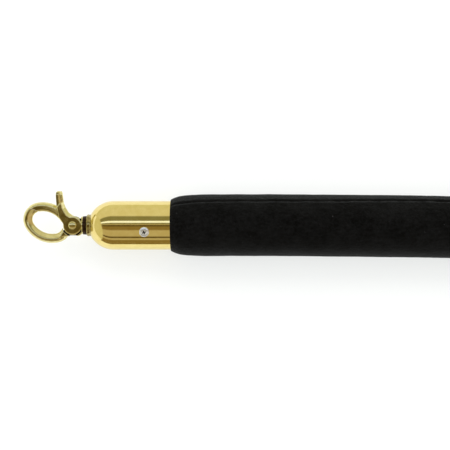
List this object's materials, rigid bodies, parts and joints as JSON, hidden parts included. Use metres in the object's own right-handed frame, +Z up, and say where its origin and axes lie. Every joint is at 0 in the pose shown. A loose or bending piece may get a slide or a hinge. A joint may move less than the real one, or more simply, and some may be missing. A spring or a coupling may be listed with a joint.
{
  "type": "velvet barrier rope",
  "caption": "Black velvet crowd barrier rope with domed brass end caps and swivelling trigger hooks, folded and tied for storage.",
  "frame": {"origin": "centre of the near hook's eye, in the hook's own plane, 19 mm above the surface the rope lies on", "axes": "+X from the near hook along the rope, +Y towards the near hook's thumb lever, +Z up from the surface"},
  "size_m": [0.8188, 0.2923, 0.0382],
  "materials": {
    "velvet": "black cut pile velvet",
    "ferrule_brass": "polished",
    "hook_brass": "polished cast, slightly dull",
    "screw_nickel": "nickel plated",
    "steel": "zinc plated",
    "spring_steel": "drawn wire",
    "plug_wood": "plain turned beech",
    "foam": "open foam",
    "cord": "braided polyester",
    "tie": "hook and loop strap"
  },
  "bodies": {
    "rope": {"velvet_cover": "velvet", "foam_core": "foam", "strength_cord": "cord", "storage_tie": "tie", "near_swivel_collar": "hook_brass", "near_ferrule": "ferrule_brass", "near_ferrule_screw": "screw_nickel", "near_end_plug": "plug_wood", "near_cord_knot": "cord", "far_swivel_collar": "hook_brass", "far_ferrule": "ferrule_brass", "far_ferrule_screw": "screw_nickel", "far_end_plug": "plug_wood", "far_cord_knot": "cord"},
    "near_hook": {"near_hook_body": "hook_brass", "near_gate_rivet": "hook_brass", "near_gate_spring": "spring_steel", "near_swivel_washer": "steel", "near_swivel_nut": "steel"},
    "near_gate": {"near_hook_gate": "hook_brass"},
    "far_hook": {"far_hook_body": "hook_brass", "far_gate_rivet": "hook_brass", "far_gate_spring": "spring_steel", "far_swivel_washer": "steel", "far_swivel_nut": "steel"},
    "far_gate": {"far_hook_gate": "hook_brass"}
  },
  "joints": [
    {"name": "near_swivel", "type": "hinge", "parent": "rope", "child": "near_hook", "pos_m": [0.02, -0.0017, 0], "axis": [1, 0, 0], "continuous": true},
    {"name": "near_gate_pivot", "type": "hinge", "parent": "near_hook", "child": "near_gate", "pos_m": [0.0157, -0.0018, 0], "axis": [0, 0, -1], "range_deg": [0, 30], "stiffness_Nm_per_rad": 0.03, "springref_deg": -20.05, "deforming": ["near_gate_spring"]},
    {"name": "far_swivel", "type": "hinge", "parent": "rope", "child": "far_hook", "pos_m": [0.31492, 0.04462, 0], "axis": [0.9835, -0.1807, 0], "continuous": true},
    {"name": "far_gate_pivot", "type": "hinge", "parent": "far_hook", "child": "far_gate", "pos_m": [0.31067, 0.0453, 0], "axis": [0, 0, -1], "range_deg": [0, 30], "stiffness_Nm_per_rad": 0.03, "springref_deg": -20.05, "deforming": ["far_gate_spring"]}
  ]
}
